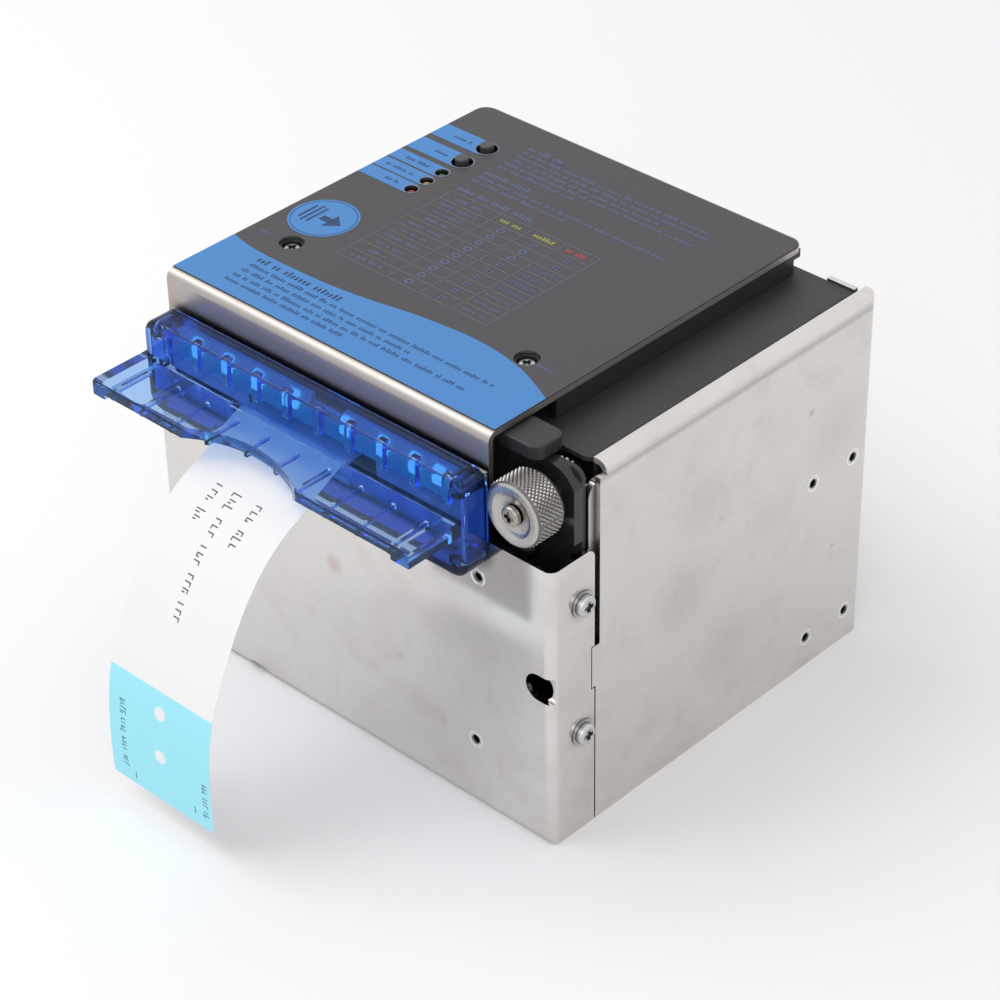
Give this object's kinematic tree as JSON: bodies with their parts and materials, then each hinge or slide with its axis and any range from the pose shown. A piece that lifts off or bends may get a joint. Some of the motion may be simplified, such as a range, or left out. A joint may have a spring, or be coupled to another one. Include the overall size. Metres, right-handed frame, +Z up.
{
  "type": "ticket_printer",
  "caption": "Steel-cased thermal ticket printer with a translucent blue lighted outlet, hinged cover, two buttons, release lever and hand knob",
  "frame": {"origin": "on the floor under the middle of the case, between its left and right sides and between its front and rear faces", "axes": "+X is the printer's right as seen from the front, +Y runs from the outlet to the rear, +Z is up"},
  "size_m": [0.1404, 0.1768, 0.1122],
  "materials": {
    "stainless": "fine brushed",
    "zinc_steel": "plain zinc plated",
    "blade_steel": "ground",
    "black_steel": "fine textured powder coat",
    "print_label": "matt printed film",
    "bezel_blue": "translucent polished",
    "black_plastic": "satin moulded",
    "grey_plastic": "satin moulded",
    "board_teal": "solder mask",
    "light_blue": "lit",
    "light_green": "tinted",
    "light_yellow": "tinted",
    "light_red": "tinted",
    "knob_steel": "knurled",
    "brass": "turned",
    "rubber": "ground",
    "paper": "coated",
    "core_card": "plain",
    "ceramic": "polished",
    "aluminium": "anodised",
    "spring_steel": "drawn wire",
    "gear_white": "moulded acetal"
  },
  "bodies": {
    "case": {"front_housing": "stainless", "left_side_panel": "stainless", "right_side_panel": "stainless", "rear_panel": "stainless", "side_screws": "zinc_steel", "threaded_inserts": "zinc_steel", "bezel_screws": "zinc_steel", "bezel_bracket": "zinc_steel", "lever_pin": "zinc_steel", "cutter_screws": "zinc_steel", "left_bay_wall": "zinc_steel", "right_bay_wall": "zinc_steel", "tie_rods": "zinc_steel", "cutter_motor": "zinc_steel", "feed_motor": "zinc_steel", "board_standoffs": "zinc_steel", "rear_sockets": "zinc_steel", "fixed_blade": "blade_steel", "inner_chassis": "black_steel", "cutter_frame": "black_steel", "bezel": "bezel_blue", "gear_cover": "black_plastic", "roll_spindle": "black_plastic", "light_board": "board_teal", "main_board": "board_teal", "bezel_lights": "light_blue", "platen_bushes": "brass", "paper_web": "paper", "ticket": "paper", "lever_spring": "spring_steel"},
    "cover": {"cover_plate": "stainless", "cover_overlay": "print_label", "cover_frame": "black_plastic", "cover_screws": "zinc_steel", "button_board": "board_teal", "status_light_green": "light_green", "status_light_yellow": "light_yellow", "status_light_red": "light_red", "print_head": "ceramic", "head_block": "aluminium", "head_bracket": "zinc_steel", "head_springs": "spring_steel"},
    "feed_button": {"feed_button": "grey_plastic"},
    "cut_button": {"cut_button": "grey_plastic"},
    "release_lever": {"release_lever": "black_plastic"},
    "knob": {"knob": "knob_steel", "knob_screw": "zinc_steel", "knob_shaft": "zinc_steel", "cutter_pinion": "gear_white", "drive_gear": "gear_white"},
    "blade": {"blade_carrier": "zinc_steel", "moving_blade": "blade_steel", "moving_blade_screws": "zinc_steel"},
    "cutter_motor_pinion": {"cutter_motor_pinion": "brass"},
    "platen": {"platen_roller": "rubber", "platen_shaft": "zinc_steel", "platen_gear": "gear_white"},
    "feed_motor_pinion": {"feed_motor_pinion": "brass"},
    "paper_roll": {"paper_roll": "paper", "roll_core": "core_card"}
  },
  "joints": [
    {"name": "cover_hinge", "type": "hinge", "parent": "case", "child": "cover", "pos_m": [-0.00775, 0.053, 0.106], "axis": [-1, 0, 0], "range_deg": [0, 70]},
    {"name": "feed_button_press", "type": "slide", "parent": "cover", "child": "feed_button", "axis": [0, 0, -1], "range_m": [0, 0.001], "stiffness_N_per_m": 150, "springref_m": -0.0003},
    {"name": "cut_button_press", "type": "slide", "parent": "cover", "child": "cut_button", "axis": [0, 0, -1], "range_m": [0, 0.001], "stiffness_N_per_m": 150, "springref_m": -0.0003},
    {"name": "release_lever_turn", "type": "hinge", "parent": "case", "child": "release_lever", "pos_m": [0.0209, -0.0415, 0.1067], "axis": [0, 0, 1], "range_deg": [0, 10], "stiffness_Nm_per_rad": 0.05, "springref_deg": -4.01},
    {"name": "knob_turn", "type": "hinge", "parent": "case", "child": "knob", "pos_m": [0.058, -0.057, 0.0955], "axis": [0, 1, 0], "range_deg": [0, 89.2]},
    {"name": "blade_slide", "type": "slide", "parent": "case", "child": "blade", "axis": [0, 0, 1], "range_m": [0, 0.007]},
    {"name": "cutter_motor_turn", "type": "hinge", "parent": "case", "child": "cutter_motor_pinion", "pos_m": [0.05155, -0.0444, 0.08905], "axis": [0, 1, 0], "range_deg": [-178.9, 0.5]},
    {"name": "platen_turn", "type": "hinge", "parent": "case", "child": "platen", "pos_m": [-0.0094, -0.04, 0.0835], "axis": [1, 0, 0], "continuous": true},
    {"name": "feed_motor_turn", "type": "hinge", "parent": "case", "child": "feed_motor_pinion", "pos_m": [-0.0377, -0.03284, 0.07634], "axis": [1, 0, 0], "continuous": true},
    {"name": "paper_roll_turn", "type": "hinge", "parent": "case", "child": "paper_roll", "pos_m": [-0.0094, 0.015, 0.045], "axis": [1, 0, 0], "continuous": true}
  ],
  "couplings": [
    {"joint": "knob_turn", "follows": "blade_slide", "rad_per_m": 222.22},
    {"joint": "cutter_motor_turn", "follows": "blade_slide", "rad_per_m": -444.44},
    {"joint": "feed_motor_turn", "follows": "platen_turn", "ratio": -2.3333},
    {"joint": "paper_roll_turn", "follows": "platen_turn", "ratio": 0.17143}
  ]
}
